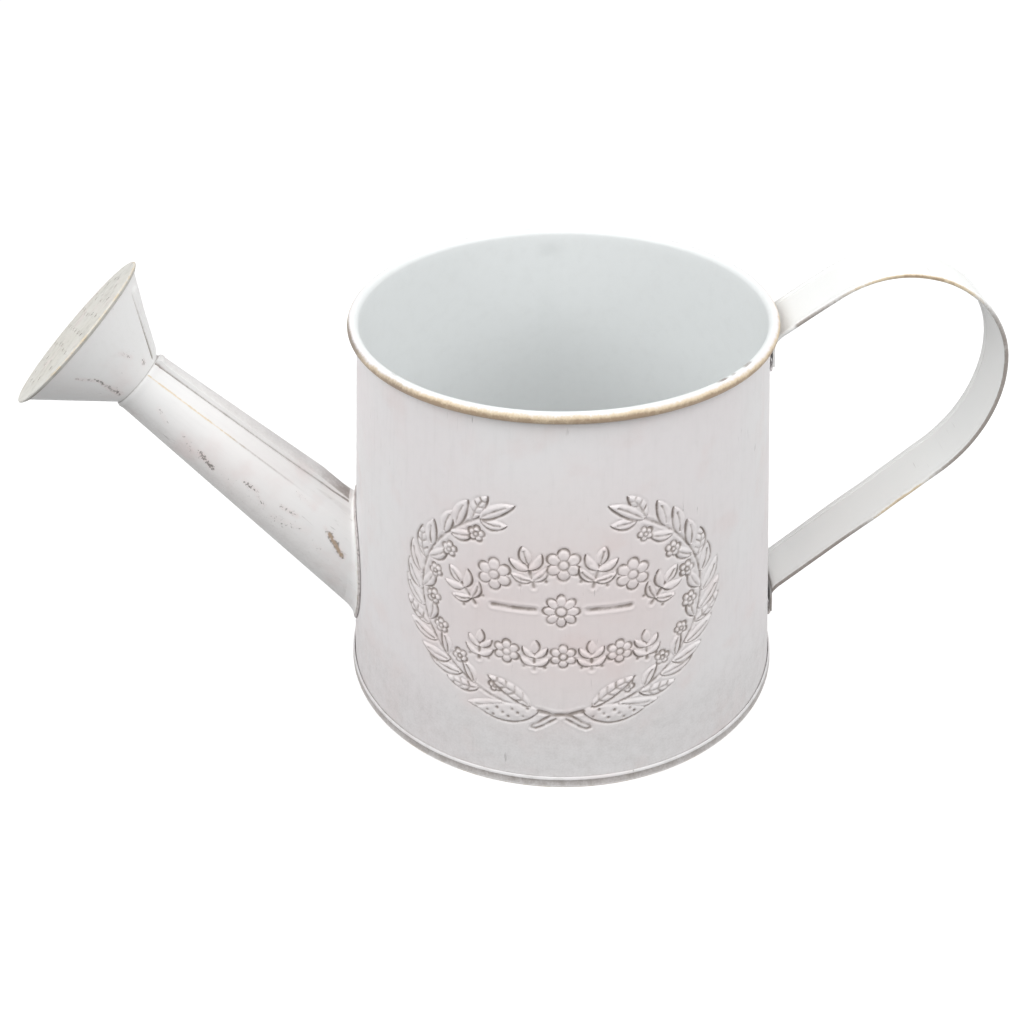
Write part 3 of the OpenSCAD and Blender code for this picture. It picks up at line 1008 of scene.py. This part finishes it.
# Route in side view: up the top tab, over the ear, and down the foot tab
quarter = math.pi / 2
tab_bend = 1.6
tab_steps = np.linspace(0, tab_len - tab_bend, 6)
top_run = arc_points(mid_front, bend_front, quarter + top_dir, quarter, 14)
low_run = arc_points(mid_low, bend_low, 0, foot_dir - quarter, 26)
lead, trail = leaving(top_end, top_dir), leaving(foot_end, foot_dir)
route = [wall_point(top_z - tab_len + t) for t in tab_steps]
route += bent(route[-1], wall_point(top_z + 0.2), lead) + straight(lead, top_run[0], 12)[:-1]
route += [*top_run, *arc_points(mid_crown, bend_crown, quarter, 0, 30)[1:]]
route += [*low_run[1:], *straight(low_run[-1], trail, 16)]
route += bent(trail, wall_point(foot_z + 0.2), wall_point(foot_z - tab_bend))
route += [wall_point(foot_z - tab_bend - t) for t in tab_steps[1:]]
route = np.array(route)
ahead = np.gradient(route, axis=0)
ahead /= np.hypot(*ahead.T)[:, None]
away = np.stack((-ahead[:, 1], ahead[:, 0]), 1)
travel = np.concatenate(([0], np.cumsum(np.hypot(*np.diff(route, axis=0).T))))[:, None]
to_end = np.minimum(travel, travel[-1] - travel)

# Section across the strap: place across it, height off its middle, and how rubbed it is
half_w, half_t = strap_w / 2, hem_thick / 2
hem_edge = [
    (hem_w + 0.35, sheet / 2, 0), (hem_w + 0.08, sheet / 2 + 0.02, 0.1),
    (hem_w - 0.06, half_t - 0.12, 0.1), (hem_w - 0.3, half_t, 0.1), (0.55, half_t, 0.15),
    (0.2, half_t - 0.07, 0.4), (0.03, half_t * 0.5, 0.8), (0, 0, 0.9)]
hem_edge = [(half_w - off, n, rub) for off, n, rub in hem_edge]
upper = [(y, sheet / 2, 0) for y in np.linspace(-half_w + hem_w + 0.9, half_w - hem_w - 0.9, 14)] + hem_edge
section = upper + [(y, -n, rub) for y, n, rub in reversed(upper[:-1])]
section = [(-y, n, rub) for y, n, rub in reversed(hem_edge[:-1])] + section
section += [(-y, -n, rub) for y, n, rub in hem_edge]
section_y, section_n, section_rub = np.array(section[::-1]).T
flat_n = np.clip(section_n, -sheet / 2, sheet / 2) - (half_t - sheet / 2)

# Each tab hugs the round wall, and between the tabs the strap is slightly crowned and uneven
hug = step_up(6.5 - to_end, 5)
drum_r = wall_r(route[:, 1:])
bow = drum_r - np.sqrt(drum_r ** 2 - section_y ** 2)
facing = np.where(travel < travel[-1] / 2, -1.0, 1.0)
free = held(to_end / 20)
crown = 0.22 * (1 - (section_y / half_w) ** 2) * held((to_end - 8) / 10)
lift = section_n * (1 - hug) - flat_n * hug * facing + crown + ripple(travel / 25, 21, 0.1) * free
strap = np.stack((route[:, :1] + away[:, :1] * lift - hug * bow,
                  section_y + ripple(travel / 20, 22, 0.12) * free,
                  route[:, 1:] + away[:, 1:] * lift), -1)
part_way = travel / travel[-1]
gilded = bell(part_way - 0.25, 0.11) + 0.8 * bell(part_way - 0.72, 0.06)
at_edge = held((np.abs(section_y) - half_w + 0.45) / 0.3)
hem_line = bell(np.abs(section_y) - half_w + hem_w + 0.15, 0.16)
at_foot = part_way > 0.5
strap_rub = section_rub * held(gilded)
# The strap's edges and the crease along each hem are stained dark, partly as wear and partly as painted
# shade; a painted shadow marks the gap where the foot tab meets the bend, and near the top tab the stain is
# kept faint
strap_grime_and_shade = at_edge * held(1 - 1.3 * gilded)
strap_grime_and_shade = np.maximum(strap_grime_and_shade, 0.6 * hem_line * (0.5 + 0.5 * np.sin(16 * part_way)))
strap_grime_and_shade = np.where(at_foot | (to_end > 12), strap_grime_and_shade, 0.1)
strap_grime_and_shade = np.maximum(strap_grime_and_shade, 0.9 * at_foot * held(1 - np.abs(to_end - 7) / 1.6))
handle = tube_piece("handle_strap", strap, {"rub": strap_rub, "grime_and_shade": strap_grime_and_shade}, capped=True)
# Painted light: the strap's white is lighter and cooler than the drum's, which lifts its shaded inner face
strap_white_painted_lighter = linear(247, 247, 245)
paint_white(handle, "strap_worn_white", (0, 1, 0), 6, strap_white_painted_lighter, 0.0, warmth=0.0, fleck=0.25, soil=0.0)
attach(handle, "root")
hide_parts("handle_strap")


# ---- Solder ----
# Soft solder run by hand along the lower edge of each tab and round the spout's flange.
# It stands in rough lumps, painted over with the rest and dirty in its hollows.
def solder_run(seed, *line):
    """A lumpy bead along a line on the wall, as rings of points. The line is its turns, heights,
    the way across it round and up the wall, half widths and depths."""
    turn, z, across_turn, across_z, wide, deep = (np.reshape(part, (-1, 1)) for part in line)
    rough_size = np.random.default_rng(seed).uniform(0.6, 1.15, len(turn) + 6)
    lumps = np.convolve(rough_size, np.ones(4) / 4, "same")[3:-3, None]
    around_bead = np.linspace(0, math.tau, 12, endpoint=False)
    shift = wide * np.cos(around_bead) * (0.85 + 0.3 * lumps)
    high = deep * lumps * np.clip(np.sin(around_bead), -0.08, 1)
    at_z = z + shift * across_z
    return on_drum(turn + shift * across_turn / wall_r(z), at_z, wall_r(at_z) + fit + high)


def paint_solder(bead, name, seed):
    paint_white(bead, name, (0, 0, 1), seed, drum_white, fleck=1.0, soil=0.3, rough=0.55)


tab_beads = [
    ("handle_top_solder", top_z - tab_len, 31, 0.1),
    ("handle_foot_solder", foot_z - tab_len, 32, 0.5)]
for node, z_top, seed, darkening in tab_beads:
    reach = np.linspace(-half_w + 0.3, half_w - 0.3, 44)
    ends = np.sqrt(np.clip(1 - (reach / half_w) ** 8, 0.05, 1))
    bead_turn = math.pi / 2 + reach / wall_r(z_top)
    grid = solder_run(seed, bead_turn, z_top - 0.95, 0, 1, 0.75 * ends, 0.95 * ends)
    even = np.ones(grid.shape[:2])
    bead = tube_piece(node, grid, {"rub": 0.25 * even, "grime_and_shade": darkening * even}, capped=True)
    paint_solder(bead, node + "_paint", seed - 24)
    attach(bead, "root")
    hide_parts(node)

ring_steps = 150
round_spout = np.arange(ring_steps) / ring_steps * math.tau - math.pi
ring_low = (1 - np.cos(round_spout)) / 2
ring_knee, ring_out = knees(round_spout)[1:]
ring_line = ring_knee + ring_out * (2.45 + 0.35 * ring_low)[:, None]
ring_turn = np.arctan2(ring_line[:, 0], -ring_line[:, 1])
out_turn = ring_out[:, 0] * np.cos(ring_turn) + ring_out[:, 1] * np.sin(ring_turn)
norm = np.hypot(out_turn, ring_out[:, 2])
grid = solder_run(33, ring_turn, ring_line[:, 2], out_turn / norm, ring_out[:, 2] / norm, 0.5, 0.5)
grid = grid.transpose(1, 0, 2)
darkening = np.full(grid.shape[:2], 0.5)
ring_bead = tube_piece("spout_solder", grid, {"rub": 0.3 * darkening, "grime_and_shade": darkening, "chipped": darkening})
paint_solder(ring_bead, "spout_solder_paint", 9)
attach(ring_bead, "root")
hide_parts("spout_solder")


# ---- Floor, light and camera ----
# Plain white sweep under soft light from overhead, seen from the front and a little above.
floor_mesh = bpy.data.meshes.new("floor")
floor_mesh.from_pydata([(-6, -6, 0), (6, -6, 0), (6, 6, 0), (-6, 6, 0)], [], [(0, 1, 2, 3)])
floor = placed("floor", floor_mesh)
floor_paint, floor_shader = finish("floor_white")[:2]
floor_shader.inputs["Base Color"].default_value = (0.22, 0.22, 0.22, 1)
floor_shader.inputs["Roughness"].default_value = 0.9
floor_shader.inputs["Specular IOR Level"].default_value = 0.1


def looked_at(start):
    """1 where a ray comes straight from the camera, or by way of a mirror or glass."""
    seen, mirrored, through = (start.node("ShaderNodeLightPath", {}, {}, out=k) for k in (0, 3, 6))
    return seen.sum("MAXIMUM", seen.sum("MAXIMUM", seen, mirrored), through)


plain = Wire(floor_paint.node_tree, floor_shader.outputs[0])
pale = plain.node("ShaderNodeBsdfDiffuse", {}, {"Color": (0.4, 0.4, 0.4, 1)})
glow = plain.node("ShaderNodeEmission", {}, {"Strength": 0.78})
lit = plain.node("ShaderNodeAddShader", {}, {0: pale, 1: glow})
whole = plain.node("ShaderNodeMixShader", {}, {0: looked_at(plain), 1: plain, 2: lit})
whole.into(floor_paint.node_tree.nodes["Material Output"], "Surface")
floor.data.materials.append(floor_paint)

world = bpy.data.worlds.new("white_room")
bpy.context.scene.world = world
world.use_nodes = True
room = Wire(world.node_tree, None)
room_white = room.node("ShaderNodeBackground", {}, {"Color": (1, 1, 1, 1), "Strength": 1})
room_light = room.node("ShaderNodeBackground", {}, {"Color": (1, 1, 1, 1), "Strength": 0.54})
whole = room.node("ShaderNodeMixShader", {}, {0: looked_at(room), 1: room_light, 2: room_white})
whole.into(world.node_tree.nodes["World Output"], "Surface")

soft_boxes = [
    ((-0.5, -0.35, 0.574), 0.6, 3.0), ((0.5, -0.35, 0.574), 0.6, 2.9),
    ((-0.1, 0.1, 1.2), 0.7, 1.7)]
for place, size, power in soft_boxes:
    box = bpy.data.lights.new("soft_box", "AREA")
    box.shape, box.size, box.energy = "SQUARE", size, power
    lamp = placed("soft_box", box)
    lamp.location = place
    lamp.rotation_euler = (Vector((0, 0, 0.06)) - lamp.location).to_track_quat("-Z", "Y").to_euler()

eye = Vector((-18.5, -298.2, 245.2)) * MM
look_down, look_right, roll = radians(33.99), radians(1.0), radians(-1.06)
camera_data = bpy.data.cameras.new("camera")
camera_data.lens, camera_data.sensor_width = 46.76, 36
camera = placed("camera", camera_data)
turned_by = (Matrix.Rotation(-look_right, 4, "Z") @ Matrix.Rotation(math.pi / 2 - look_down, 4, "X")
             @ Matrix.Rotation(roll, 4, "Z"))
camera.matrix_world = Matrix.Translation(eye) @ turned_by
bpy.context.scene.camera = camera
bpy.context.scene.view_settings.view_transform = "Standard"
